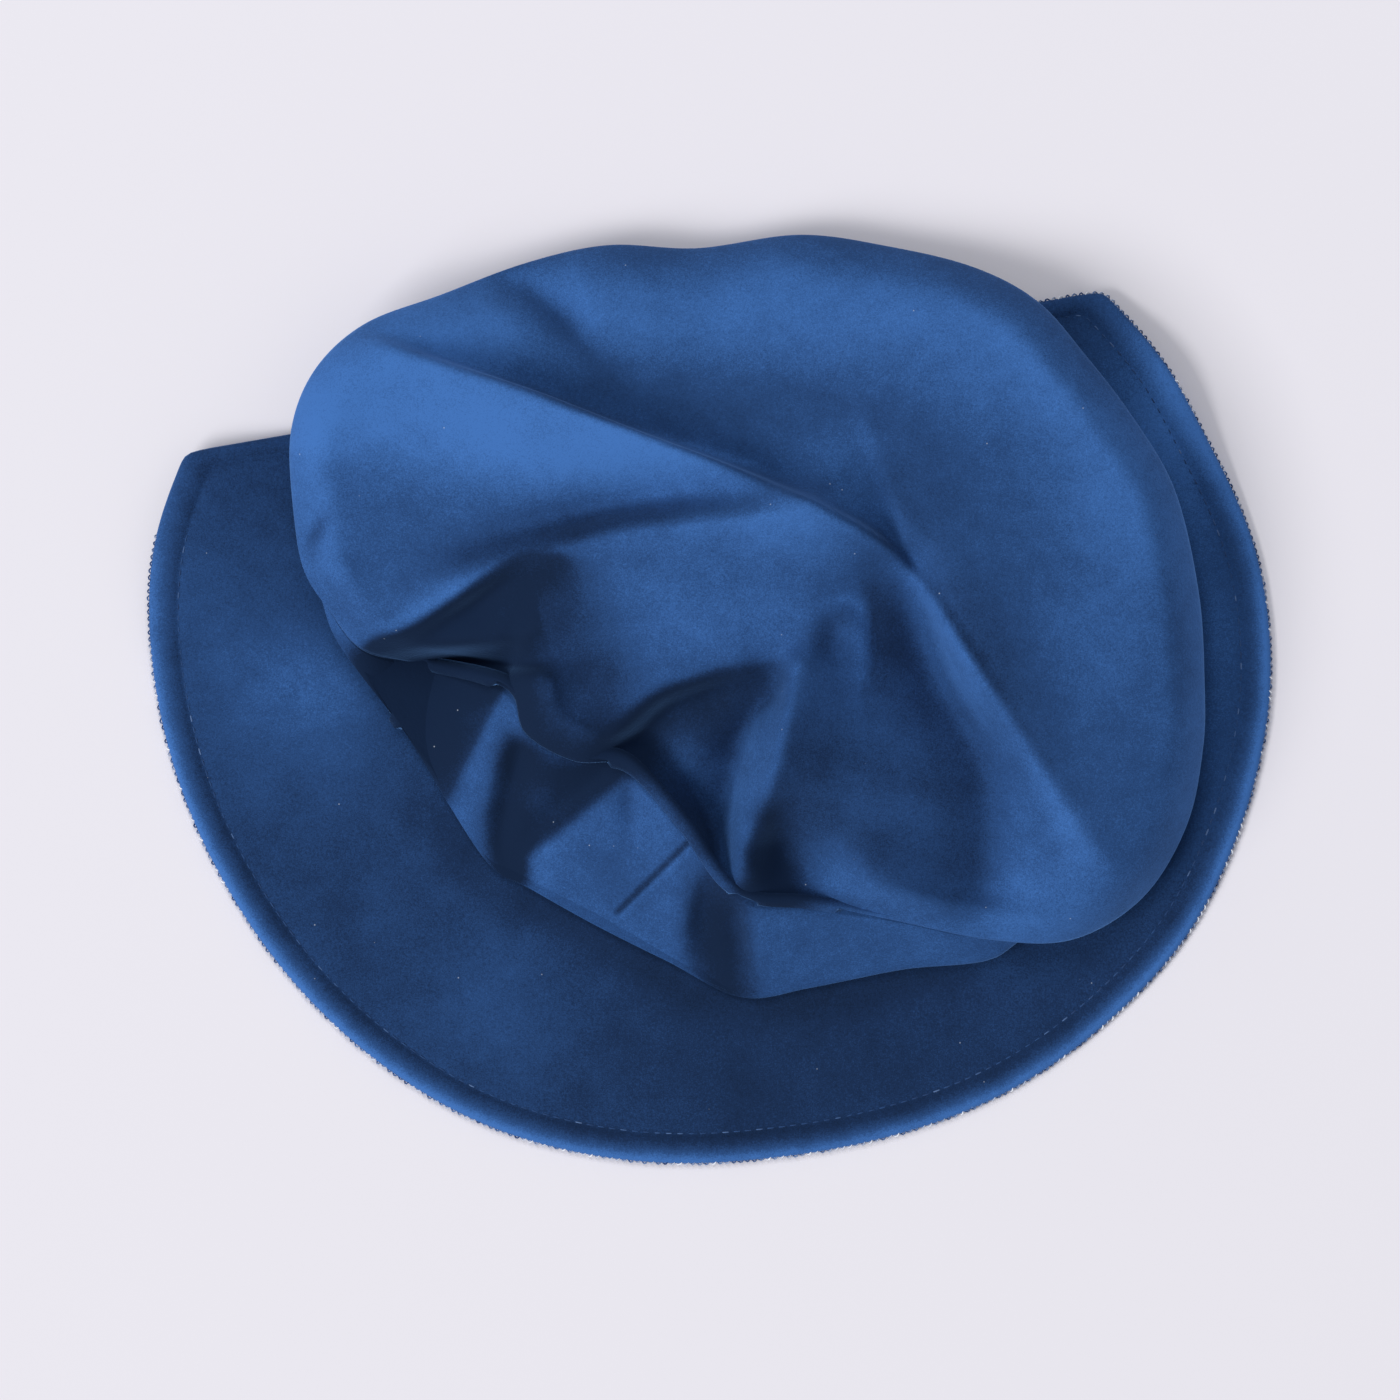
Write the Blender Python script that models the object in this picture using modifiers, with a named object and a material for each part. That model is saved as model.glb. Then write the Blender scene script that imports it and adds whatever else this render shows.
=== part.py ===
"""A velvet tudor beret lying flat: a big soft crown on a round brim.

The crown has two pieces: a round top piece, slumped into folds, and a side ring
that runs from the edge of the top piece down and in to the head opening. The brim
is two layers of velvet with a stitched hem, cut straight behind the head opening.
The front of the hat faces -Y. All sizes are in millimetres and become metres only
when a mesh is written.
"""

import math

import bmesh
import bpy
import numpy as np

MM = 0.001

CLOTH = 2.0
SEAM_GAP = 0.8
REST_GAP = 0.35

HEAD_OPENING_RADIUS = 91.5
HEAD_OPENING_CENTRE = (4.2, 13.6)
FOOT_RADIUS = HEAD_OPENING_RADIUS + 1.5

CROWN_CENTRE = (10.0, 34.0)
CROWN_MIDDLE_HEIGHT = 40.0
SHOULDER_INSET = 13.0
CROWN_COLUMNS = 84
TOP_RINGS = 16
TOP_EDGE_RINGS = 4
SIDE_RINGS = 7
SOFTEST_FOLD = 6.0

BRIM_CENTRE = (1.8, 29.7)
BRIM_THICKNESS = 3.2
HEM_WIDTH = 10.0
HEM_THICKNESS = 4.2
STITCH_DEPTH = 0.9
BACK_EDGE_DISTANCE = 82.4
BACK_EDGE_ANGLE = 100.0
CORNER_SOFTNESS = 3.0
BRIM_COLUMNS = 90
BRIM_INNER_RINGS = 6

VELVET_BLUE = (0.022, 0.067, 0.195)

# Sections round the crown, anticlockwise from its right side.
# edge: the outermost line of the top piece. puff: how far the top rises inside it.
# tuck and drop: how far in and down from the edge the seam to the side ring lies.
# hip: where the side ring turns under, with its height above the brim or table.
SECTION_COLUMNS = ("edge_x", "edge_y", "edge_z", "puff", "tuck", "drop", "hip_x", "hip_y", "hip_z")
CROWN_SECTIONS = (
    ("right", 165, 5, 20, 14, 6, 8, 140, 8, 3),
    ("right_back_low", 163, 36, 21, 14, 6, 8, 138, 32, 3),
    ("right_back", 155, 70, 23, 13, 6, 7, 132, 58, 4),
    ("right_back_high", 141, 94, 25, 12, 5, 6, 122, 78, 4),
    ("corner_right", 125, 115, 25, 12, 5, 6, 108, 96, 4),
    ("back_corner", 109, 133, 22, 12, 5, 6, 92, 110, 4),
    ("back_right_high", 88, 144.5, 16, 12, 5, 6, 72, 122, 5),
    ("back_right", 60, 151.5, 13, 12, 5, 6, 50, 128, 4),
    ("back", 30, 155.5, 12, 12, 5, 6, 26, 131, 4),
    ("back_dip", -4, 151, 12, 12, 5, 6, 0, 130, 4),
    ("back_left", -34, 152, 13, 12, 5, 6, -26, 129, 4),
    ("back_left_high", -62, 147, 16, 11, 5, 6, -50, 122, 5),
    ("left_back_slope", -90, 136.5, 22, 10, 5, 7, -72, 113, 6),
    ("left_corner", -116, 127, 28, 9, 5, 7, -92, 104, 6),
    ("left_back", -132.5, 111, 29, 9, 5, 8, -106, 88, 5),
    ("left_high", -139, 90, 28, 11, 5, 8, -112, 70, 4),
    ("left", -138.5, 66, 26, 13, 4, 8, -114, 52, 4),
    ("left_low", -134, 44, 25, 12, 0, 4, -126, 40, 8),
    ("beak_side", -124, 29, 25, 9, -4, 4, -130, 27, 9),
    ("beak", -113, 16.5, 24, 8, -4, 5, -122, 11, 7),
    ("recess", -93, 11.5, 22, 4, -4, 4, -110, -6, 3),
    ("strip", -67, 3.5, 30, 6, -4, 4, -89.5, -35, 3),
    ("lobe_left", -61.5, -11, 32, 10, -2, 5, -73, -54, 2),
    ("lobe_low", -45, -20.5, 30, 12, -1, 6, -59, -61, 2),
    ("pucker", -27, -22, 30, 6, -4, 3, -36, -73, 2),
    ("side_seam", -9, -40, 32, 5, -4, 3, -15, -85, 2),
    ("ridge_foot", 9, -63, 33, 5, -4, 3, 10, -99, 2),
    ("front_pit", 34, -67.5, 28, 4, -3, 3, 34, -96, 2),
    ("front_right_puff", 62, -73, 27, 10, -2, 4, 64, -90, 2),
    ("front_right", 92, -79, 24, 12, 0, 4, 94, -85, 3),
    ("front_corner_low", 120, -79.5, 21, 13, 3, 6, 104, -68, 3),
    ("front_corner", 144, -66, 19, 14, 5, 7, 122, -54, 3),
    ("right_front", 159, -42, 18, 14, 6, 8, 134, -34, 3),
    ("right_low", 164.5, -16, 19, 14, 6, 8, 140, -12, 3),
)

# Folds of the top piece: a crest (or, with a negative rise, a valley) along a path.
# rise: height at the start, middle and end. left, right: width of the flank on each
# side, looking along the path. crest: how round its top is.
TOP_FOLDS = (
    ("ridge_a", (8, 27, 25), 5, 26, 1.5, ((-117, 123), (-90, 113), (-60, 102.5), (-25, 89), (10, 76), (40, 63), (61, 51))),
    ("ridge_b", (25, 20, 2), 13, 9, 2.0, ((61, 51), (75, 31), (98, -3), (120, -38), (136, -60))),
    ("ridge_c", (8, 24, 20), 9, 8, 2.0, ((-116, 19), (-95, 25), (-65, 43), (-45, 53), (-20, 59), (10, 62), (34, 66))),
    ("plateau_edge", (8, 15, 10), 26, 12, 3.0, ((-48, 46), (-34, 30), (-12, 18), (10, 15), (28, 12))),
    ("lobe", (8, 16, 8), 14, 14, 6.0, ((-50, 20), (-47, 4), (-42, -10))),
    ("ridge_e", (16, 20, 16), 9, 10, 2.5, ((30, 14), (25, -6), (16, -30), (8, -52), (8, -62))),
    ("knob", (6, 8, 6), 4, 4, 2.0, ((34, 22), (38, 31), (46, 33), (51, 22), (50, 10))),
    ("valley_c", (-2, -9, -4), 9, 7, 3.0, ((-100, 46), (-65, 54), (-40, 62), (-10, 68), (20, 70))),
    ("recess_pit", (-12, -24, -22), 14, 9, 4.0, ((-98, 12), (-78, 17), (-68, 28), (-58, 38))),
    ("lobe_pit", (-14, -20, -12), 8, 9, 3.0, ((-27, -18), (-10, -8), (6, 2), (22, 8))),
    ("valley_f", (-22, -24, -8), 9, 8, 4.0, ((58, 44), (63, 20), (72, -4), (84, -30), (90, -60))),
    ("front_pit", (-12, -28, -22), 7, 6, 3.0, ((21, -36), (22, -50), (24, -64))),
    ("front_puff", (4, 9, 5), 12, 12, 6.0, ((34, -42), (50, -52), (68, -62), (88, -70))),
    ("right_puff", (2, 7, 6), 9, 14, 6.0, ((96, 2), (101, -30), (106, -62))),
    ("behind_a", (-2, -6, -6), 16, 8, 5.0, ((-60, 112), (-20, 100), (20, 84), (55, 66), (80, 42), (96, 12))),
    ("back_dip", (-5, -4, 0), 6, 6, 2.0, ((-68, 146), (-48, 130), (-36, 114))),
)

# Folds of the side ring: how far it is pushed in at mid height, and over what width.
SIDE_FOLDS = (
    ("recess", -96, -2, 7, 16),
    ("strip", -80, -20, -6, 9),
    ("dark_fold", -66, -38, 11, 10),
    ("middle_panel", -42, -52, -4, 16),
    ("front_fold", 6, -80, 12, 9),
    ("front_panel", 44, -82, -3, 20),
)

# Radius of the brim about its centre.
BRIM_OUTLINE = (
    (-180, 189.5), (-150, 187.5), (-115, 188.5), (-84, 184.0), (-60, 188.5), (-34, 192.0),
    (-8, 187.0), (6, 181.5), (20, 174.5), (36, 171.5), (60, 176.0), (110, 184.0), (150, 188.0),
)

# Soft waves that lift the brim off the table, and swells of its upper layer alone.
BRIM_LIFTS = (
    ("left_end", -176, 62, 8.0, 34),
    ("right_end", 152, 108, 8.5, 34),
)
BRIM_SWELLS = (
    ("left_swell", -140, 0, 1.6, 26),
    ("front_swell", -74, -104, 1.4, 24),
    ("right_swell", 60, -122, 1.2, 26),
)


def catmull_rom(before, start, end, after, t):
    """The point at t between start and end on a smooth curve through four points."""
    return 0.5 * (
        2 * start
        + (end - before) * t
        + (2 * before - 5 * start + 4 * end - after) * t**2
        + (3 * start - before - 3 * end + after) * t**3
    )


def closed_rows(rows, columns):
    """Rows of numbers smoothed into a closed curve and read at evenly spaced columns."""
    rows = np.array(rows, float)
    fine = []
    for index in range(len(rows)):
        before, start, end, after = (rows[(index + k) % len(rows)] for k in (-1, 0, 1, 2))
        fine += [catmull_rom(before, start, end, after, t) for t in np.arange(0, 1, 0.05)]
    fine = np.array(fine + fine[:1])
    steps = np.hypot(*np.diff(fine[:, :2], axis=0).T)
    reach = np.concatenate(([0.0], np.cumsum(steps)))
    wanted = np.linspace(0, reach[-1], columns + 1)[:-1]
    return np.array([np.interp(wanted, reach, column) for column in fine.T]).T


def smooth_path(points):
    """A path through hand-placed points, as many short steps."""
    points = np.array(points, float)
    ends = np.vstack((2 * points[0] - points[1], points, 2 * points[-1] - points[-2]))
    path = [
        catmull_rom(*ends[index : index + 4], t)
        for index in range(len(points) - 1)
        for t in np.arange(0, 1, 0.1)
    ]
    return np.array(path + [points[-1]])


def fold_height(places, rise, left, right, crest, points):
    """Height that one fold adds at each place seen from above."""
    path = smooth_path(points)
    reach = np.concatenate(([0.0], np.cumsum(np.hypot(*np.diff(path, axis=0).T))))
    along = np.gradient(path, axis=0)
    away = places[:, None, :] - path[None]
    nearest = np.argmin((away**2).sum(-1), axis=1)
    offset = away[np.arange(len(places)), nearest]
    direction = along[nearest]
    side = direction[:, 0] * offset[:, 1] - direction[:, 1] * offset[:, 0]
    blend = 0.5 + 0.5 * np.tanh(side / np.hypot(*direction.T) / 2.0)
    width = np.hypot(right + (left - right) * blend, SOFTEST_FOLD)
    crest = crest + SOFTEST_FOLD / 2
    distance = np.hypot(offset[:, 0], offset[:, 1])
    height = np.interp(reach[nearest] / reach[-1], (0, 0.5, 1), rise)
    return height * np.exp(-(np.sqrt(distance**2 + crest**2) - crest) / width)


def bumps(places, rows):
    """Sum of soft round bumps, each with a place, a rise and a spread."""
    total = np.zeros(len(places))
    for _, x, y, rise, spread in rows:
        distance = np.hypot(places[:, 0] - x, places[:, 1] - y)
        total += rise * np.exp(-((distance / spread) ** 2))
    return total


def brim_reach(angles):
    """Radius of the brim's edge about its centre at each angle in degrees."""
    turn, radius = np.array(BRIM_OUTLINE).T
    round_edge = np.interp(angles, turn, radius, period=360)
    facing = np.cos(np.radians(angles - BACK_EDGE_ANGLE))
    straight = BACK_EDGE_DISTANCE / np.maximum(facing, 0.05)
    both = np.exp(-round_edge / CORNER_SOFTNESS) + np.exp(-straight / CORNER_SOFTNESS)
    return -CORNER_SOFTNESS * np.log(both)


def brim_top(places):
    """Height of the brim's upper face, or of the table beyond the brim."""
    out = places - BRIM_CENTRE
    angles = np.degrees(np.arctan2(out[:, 1], out[:, 0]))
    past = np.hypot(out[:, 0], out[:, 1]) - brim_reach(angles)
    lifted = bumps(places, BRIM_LIFTS) + bumps(places, BRIM_SWELLS)
    return (HEM_THICKNESS + lifted) * np.clip(1 - past / 6, 0, 1)


def crown_point(around, u):
    """Points of the crown's outer face.

    around picks a section. u runs 0 to 1 from the middle of the top to its shoulder,
    to 2 at the edge, 3 at the seam, 4 at the hip and 5 at the foot.
    """
    table = closed_rows([row[1:] for row in CROWN_SECTIONS], CROWN_COLUMNS)
    row = {name: table[around % CROWN_COLUMNS, i] for i, name in enumerate(SECTION_COLUMNS)}
    centre = np.array(CROWN_CENTRE)
    edge = np.stack((row["edge_x"], row["edge_y"]), -1)
    inward = centre - edge
    inward /= np.linalg.norm(inward, axis=1)[:, None]
    shoulder = edge + inward * SHOULDER_INSET
    seam = edge + inward * row["tuck"][:, None]
    hip = np.stack((row["hip_x"], row["hip_y"]), -1)
    outward = hip - HEAD_OPENING_CENTRE
    outward /= np.linalg.norm(outward, axis=1)[:, None]
    foot = HEAD_OPENING_CENTRE + outward * FOOT_RADIUS

    shoulder_z = row["edge_z"] + row["puff"]
    hip_z = brim_top(hip) + row["hip_z"]
    foot_z = brim_top(foot) + REST_GAP
    inner = centre + (shoulder - centre) * 0.85
    keys = [
        np.column_stack((inner, shoulder_z + 0.5)),
        np.column_stack((shoulder, shoulder_z)),
        np.column_stack((edge, row["edge_z"])),
        np.column_stack((seam, row["edge_z"] - row["drop"])),
        np.column_stack((hip, hip_z)),
        np.column_stack((foot, foot_z)),
    ]
    keys.append(2 * keys[-1] - keys[-2])
    keys = np.stack(keys, 1)

    share = np.clip(u, 0, 1)
    flat = centre + (shoulder - centre) * share[:, None]
    rise = CROWN_MIDDLE_HEIGHT + (shoulder_z - CROWN_MIDDLE_HEIGHT) * share**1.6
    result = np.column_stack((flat, rise))
    past = u > 1
    span = np.clip(np.floor(u - 1e-9).astype(int), 1, 4)
    index = np.arange(len(u))
    four = [keys[index, span - 1 + k] for k in range(4)]
    curved = catmull_rom(*four, (u - span)[:, None])
    result[past] = curved[past]

    top_share = np.clip((2.4 - u) / 1.2, 0, 1)
    top_share = top_share * top_share * (3 - 2 * top_share)
    for _, heights, left, right, crest, points in TOP_FOLDS:
        result[:, 2] += top_share * fold_height(result[:, :2], heights, left, right, crest, points)

    side_share = np.sin(np.pi * np.clip((u - 2.6) / 1.6, 0, 1)) ** 2
    push = bumps(result[:, :2], SIDE_FOLDS) * side_share
    result[:, :2] += inward * push[:, None] * 0.55
    result[:, 2] -= push * 0.45

    floor = brim_top(result[:, :2]) + REST_GAP
    result[:, 2] = np.maximum(result[:, 2], floor)
    return result


def ring_sheet(name, columns, rings, place):
    """A sheet closed round the crown: a flat grid carried to its place."""
    bm = bmesh.new()
    bmesh.ops.create_grid(bm, x_segments=columns, y_segments=len(rings) - 1, size=0.5)
    around = np.array([round((v.co.x + 0.5) * columns) for v in bm.verts])
    along = np.array([round((v.co.y + 0.5) * (len(rings) - 1)) for v in bm.verts])
    points = place(around, np.array(rings)[along])
    for vert, point in zip(bm.verts, points):
        vert.co = point * MM
    bmesh.ops.remove_doubles(bm, verts=bm.verts, dist=1e-6)
    bmesh.ops.recalc_face_normals(bm, faces=bm.faces)
    return finished(name, bm)


def finished(name, bm):
    """The mesh as an object of the beret, in its own velvet."""
    mesh = bpy.data.meshes.new(name)
    bm.to_mesh(mesh)
    bm.free()
    piece = bpy.data.objects.new(name, mesh)
    beret.objects.link(piece)
    piece.data.materials.append(velvet(name))
    return piece


def velvet(name):
    """Blue velvet, matt with a soft sheen."""
    material = bpy.data.materials.new(name + "_velvet")
    material.use_nodes = True
    shader = material.node_tree.nodes["Principled BSDF"]
    shader.inputs["Base Color"].default_value = (*VELVET_BLUE, 1)
    shader.inputs["Roughness"].default_value = 0.95
    shader.inputs["Metallic"].default_value = 0.0
    shader.inputs["Sheen Weight"].default_value = 0.6
    return material


def thicken(piece):
    """Gives a sheet the thickness of the cloth, towards the inside of the hat."""
    modifier = piece.modifiers.new("cloth", "SOLIDIFY")
    modifier.thickness = CLOTH * MM
    modifier.offset = -1
    modifier.use_even_offset = False


def face_outwards(piece, upwards):
    """Turns the sheet's faces so that its first rows look up or down."""
    total = sum(polygon.normal.z * polygon.area for polygon in piece.data.polygons)
    if (total > 0) != upwards:
        piece.data.flip_normals()


def even_out(piece):
    """Takes the sharpest corners off the folds, and leaves the rim of the sheet alone."""
    bm = bmesh.new()
    bm.from_mesh(piece.data)
    rim = {vert for vert in bm.verts if vert.is_boundary}
    for _ in range(4):
        rim |= {edge.other_vert(vert) for vert in rim for edge in vert.link_edges}
    inside = [vert for vert in bm.verts if vert not in rim]
    for _ in range(4):
        bmesh.ops.smooth_vert(bm, verts=inside, factor=0.5, use_axis_x=False, use_axis_y=False, use_axis_z=True)
    bm.to_mesh(piece.data)
    bm.free()


def build_crown():
    """The round top piece and the side ring, with a fine gap at their seam."""
    gap = SEAM_GAP / 20
    top_rings = list(np.linspace(0, 1, TOP_RINGS))
    top_rings += list(np.linspace(1, 3 - gap, TOP_EDGE_RINGS + 1))[1:]
    side_rings = np.linspace(3 + gap, 5, SIDE_RINGS + 1)
    top = ring_sheet("crown_top", CROWN_COLUMNS, top_rings, crown_point)
    side = ring_sheet("crown_side", CROWN_COLUMNS, side_rings, crown_point)
    even_out(top)
    face_outwards(top, True)
    face_outwards(side, False)
    thicken(top)
    thicken(side)


def brim_profile():
    """Stations across the brim: (share of the way in, distance in, height share)."""
    hem = [(0.0, 0.0, 0.5), (0.0, 0.7, 0.85), (0.0, 2.5, 1.0), (0.0, 7.0, 1.0), (0.0, HEM_WIDTH, 1.0)]
    hem += [(0.0, HEM_WIDTH + 2.5, 1.0)]
    inner = [(share, HEM_WIDTH + 2.5, 1.0) for share in np.linspace(0, 1, BRIM_INNER_RINGS + 1)[1:]]
    under = [(share, HEM_WIDTH + 2.5, 0.0) for share in (1.0, 0.5, 0.0)]
    return hem + inner + under + [(0.0, 1.2, 0.0)]


def brim_point(around, station):
    """Points of the brim's whole skin, upper face, inner edge and under face."""
    profile = np.array(brim_profile())
    share, inset, level = profile[station.astype(int) % len(profile)].T
    angle = around * 360 / BRIM_COLUMNS
    turn = np.radians(angle)
    ray = np.stack((np.cos(turn), np.sin(turn)), -1)
    outer = np.array(BRIM_CENTRE) + ray * brim_reach((angle + 180) % 360 - 180)[:, None]
    inner = np.array(HEAD_OPENING_CENTRE) + ray * HEAD_OPENING_RADIUS
    width = np.linalg.norm(outer - inner, axis=1)
    squeeze = np.minimum(1, width / (HEM_WIDTH + 6))
    distance = inset * squeeze
    distance += share * (width - distance)
    places = outer + (inner - outer) * (distance / width)[:, None]
    lift = bumps(places, BRIM_LIFTS)
    swell = bumps(places, BRIM_SWELLS)
    thickness = np.interp(distance, (HEM_WIDTH - 3, HEM_WIDTH, HEM_WIDTH + 2.5),
                          (HEM_THICKNESS, HEM_THICKNESS - STITCH_DEPTH, BRIM_THICKNESS))
    height = lift + level * (thickness + swell * (level > 0.9) * (distance > HEM_WIDTH))
    return np.column_stack((places, height))


def build_brim():
    """The brim as one closed skin."""
    stations = np.arange(len(brim_profile()) + 1)
    return ring_sheet("brim", BRIM_COLUMNS, stations, brim_point)


for thing in list(bpy.data.objects):
    bpy.data.objects.remove(thing)

beret = bpy.data.collections.new("tudor_beret")
bpy.context.scene.collection.children.link(beret)

build_brim()
build_crown()
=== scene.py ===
"""A blue velvet tudor beret lying on a pale table, seen from straight above.

The file follows the hat as it is put together: table, light and camera, then the
brim, its stitching and bound edge, the side ring of the crown and its round top.
Sizes are in millimetres and become metres when a mesh is written.
"""

import math

import bmesh
import bpy
import numpy as np
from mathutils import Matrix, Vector


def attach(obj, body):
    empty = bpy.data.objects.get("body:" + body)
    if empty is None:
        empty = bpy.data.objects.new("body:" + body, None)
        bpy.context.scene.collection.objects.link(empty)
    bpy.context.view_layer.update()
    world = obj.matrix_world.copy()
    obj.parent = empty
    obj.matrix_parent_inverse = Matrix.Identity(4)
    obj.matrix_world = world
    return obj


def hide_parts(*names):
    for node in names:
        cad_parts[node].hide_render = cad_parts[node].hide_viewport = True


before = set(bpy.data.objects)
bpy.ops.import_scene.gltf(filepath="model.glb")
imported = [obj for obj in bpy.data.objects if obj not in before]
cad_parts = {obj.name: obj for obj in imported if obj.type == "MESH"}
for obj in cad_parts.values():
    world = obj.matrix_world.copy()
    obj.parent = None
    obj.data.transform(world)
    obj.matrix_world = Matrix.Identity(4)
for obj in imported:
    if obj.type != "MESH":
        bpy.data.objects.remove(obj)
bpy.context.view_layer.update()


# The table: a plain pale sheet of studio paper, with big soft lamps above and a
# camera that looks straight down on the hat. None of it is part of the hat.

PAPER = (0.785, 0.765, 0.822)
PAPER_CLOUD = (0.775, 0.76, 0.81)
ROOM_LIGHT = (0.95, 0.96, 1.0)
TABLE_HALF = 6.0
CAMERA_HEIGHT = 4.0
CAMERA_OFFSET = (-0.0032, 0.0002)
FIELD_WIDTH = 0.469
SENSOR_WIDTH = 36.0


class Value:
    """A number in a material. Sums and products on it add Math nodes."""

    def __init__(self, shade, socket):
        self.shade = shade
        self.socket = socket

    def math(self, operation, *others, clamp=False):
        settings = {"operation": operation, "use_clamp": clamp}
        return self.shade.add("Math", settings, dict(enumerate((self, *others))))[0]

    def __add__(self, other):
        return self.math("ADD", other)

    def __mul__(self, other):
        return self.math("MULTIPLY", other)

    def __sub__(self, other):
        return self.math("SUBTRACT", other)

    def __rsub__(self, other):
        return (self * -1.0) + other

    __radd__ = __add__
    __rmul__ = __mul__

    def clamp(self):
        return self.math("ADD", 0.0, clamp=True)

    def between(self, low, high):
        """0 at low, 1 at high, and straight between them."""
        return ((self - low) * (1.0 / (high - low))).clamp()


class Shade:
    """One material: its nodes are added by type, settings first, then sockets."""

    def __init__(self, name):
        self.material = bpy.data.materials.new(name)
        self.material.use_nodes = True
        self.nodes = self.material.node_tree.nodes
        self.shader = self.nodes["Principled BSDF"]

    def plug(self, socket, value):
        if isinstance(value, Value):
            self.material.node_tree.links.new(value.socket, socket)
        else:
            socket.default_value = value

    def add(self, kind, settings=None, sockets=None):
        """The outputs of a new node, by name and by number."""
        node = self.nodes.new("ShaderNode" + kind)
        for name, value in (settings or {}).items():
            if name == "stops":
                ends = (node.color_ramp.elements[0], node.color_ramp.elements[-1])
                for stop, (place, colour) in zip(ends, (value[0], value[-1])):
                    stop.position = place
                    stop.color = (*colour, 1)
                for place, colour in value[1:-1]:
                    node.color_ramp.elements.new(place).color = (*colour, 1)
            else:
                setattr(node, name, value)
        for name, value in (sockets or {}).items():
            self.plug(node.inputs[name], value)
        found = {output.name: Value(self, output) for output in node.outputs}
        found.update({i: Value(self, output) for i, output in enumerate(node.outputs)})
        return found

    def noise(self, where, scale, detail=2.0, roughness=0.5):
        sockets = {"Vector": where, "Scale": scale, "Detail": detail, "Roughness": roughness}
        return self.add("TexNoise", None, sockets)[0]

    def finish(self, **sockets):
        for name, value in sockets.items():
            self.plug(self.shader.inputs[name.replace("_", " ")], value)
        return self.material


def lamp(name, place, size, power, colour, aim=(0, 0, 0)):
    light = bpy.data.lights.new(name, "AREA")
    light.shape = "RECTANGLE"
    light.size, light.size_y = size
    light.energy = power
    light.color = colour
    made = bpy.data.objects.new(name, light)
    made.location = place
    made.rotation_euler = (Vector(aim) - Vector(place)).to_track_quat("-Z", "Y").to_euler()
    made.visible_camera = False
    bpy.context.scene.collection.objects.link(made)


lamp("key_lamp", (-8.0, -5.0, 9.0), (6.5, 6.5), 1240.0, (1.0, 0.99, 0.98))
lamp("top_lamp", (-0.4, 3.0, 5.5), (3.0, 3.0), 125.0, (0.98, 0.99, 1.0))

world = bpy.data.worlds.new("pale_room")
world.use_nodes = True
world.node_tree.nodes["Background"].inputs["Color"].default_value = (*ROOM_LIGHT, 1)
world.node_tree.nodes["Background"].inputs["Strength"].default_value = 0.34
bpy.context.scene.world = world
bpy.context.scene.view_settings.view_transform = "Standard"

camera = bpy.data.objects.new("camera", bpy.data.cameras.new("camera"))
camera.location = (*CAMERA_OFFSET, CAMERA_HEIGHT)
camera.data.sensor_width = SENSOR_WIDTH
camera.data.lens = SENSOR_WIDTH * CAMERA_HEIGHT / FIELD_WIDTH
camera.data.clip_start = 0.1
camera.data.clip_end = 50.0
bpy.context.scene.collection.objects.link(camera)
bpy.context.scene.camera = camera

bm = bmesh.new()
bmesh.ops.create_grid(bm, x_segments=2, y_segments=2, size=TABLE_HALF)
mesh = bpy.data.meshes.new("table")
bm.to_mesh(mesh)
bm.free()
table = bpy.data.objects.new("table", mesh)
bpy.context.scene.collection.objects.link(table)
paper = Shade("pale_paper")
spot = paper.add("TexCoord")["Object"]
cloud = paper.noise(spot, 2.5)
colour = paper.add("Mix", {"data_type": "RGBA"}, {0: cloud, 6: (*PAPER, 1), 7: (*PAPER_CLOUD, 1)})[2]
table.data.materials.append(paper.finish(Base_Color=colour, Roughness=0.9, Specular_IOR_Level=0.1))


# The brim: two layers of velvet stitched together and turned, so that its outer edge
# is a plump hem. It is cut straight behind the head opening, and its two ends lift
# off the table. The cloth is a short-pile velvet, with light and shade painted into its colour.

MM = 0.001
HEAD_OPENING_RADIUS = 91.5
HEAD_OPENING_CENTRE = (4.2, 13.6)
BRIM_CENTRE = (1.8, 29.7)
HEM_WIDTH = 10.0
HEM_THICKNESS = 4.2
BACK_EDGE_DISTANCE = 83.3
BACK_EDGE_ANGLE = 100.0
CORNER_SOFTNESS = 2.0
BRIM_COLUMNS = 640

# The brim waves a little: height, waves by angle and start, and how far in it sets in.
# Swells set in over SWELL_RUN inside the hem. Where the brim is narrow the hem is
# squeezed, to leave FLAT_LEFT of flat cloth.
WAVE_HEIGHT = 0.25
WAVE_TURN = 0.31
WAVE_START = 1.0
WAVE_RUN = 30
SWELL_RUN = 20
FLAT_LEFT = 8
EDGE_RUN = 6
STROKE_BLEND = 2.5

# Radius of the brim about its centre, by angle from the hat's right.
BRIM_OUTLINE = (
    (-180, 189.5), (-150, 187.5), (-115, 188.5), (-84, 183.4), (-72, 184.8), (-60, 188.0), (-34, 192.0),
    (-8, 188.0), (6, 182.8), (20, 173.4), (30, 171.8), (38, 168.0), (44, 168.0), (60, 176.0),
    (110, 184.0), (150, 187.0), (158, 184.0), (164, 184.5), (169, 187.5), (174, 189.5),
)

# name, x, y, rise, spread
BRIM_LIFTS = (
    ("left_end", -176, 62, 8.0, 34),
    ("right_end", 152, 108, 8.5, 34),
)
BRIM_SWELLS = (
    ("left_swell", -140, 0, 1.6, 26),
    ("front_swell", -74, -104, 1.4, 24),
    ("right_swell", 60, -122, 1.2, 26),
)

# Light and shade painted on the brim in soft round patches: name, x, y, tone, spread
BRIM_PAINTED_SHADING = (
    ("all_over", 0, 0, -0.72, 900),
    ("left_side", -172, 30, 0.30, 60),
    ("left_light", -134, 3, 0.8, 24),
    ("front_light", -72, -102, 0.42, 24),
    ("front_dark", 30, -128, -0.4, 70),
    ("right_dark", 165, -45, -0.25, 60),
    ("right_end_light", 152, 100, 1.3, 30),
)
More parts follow.
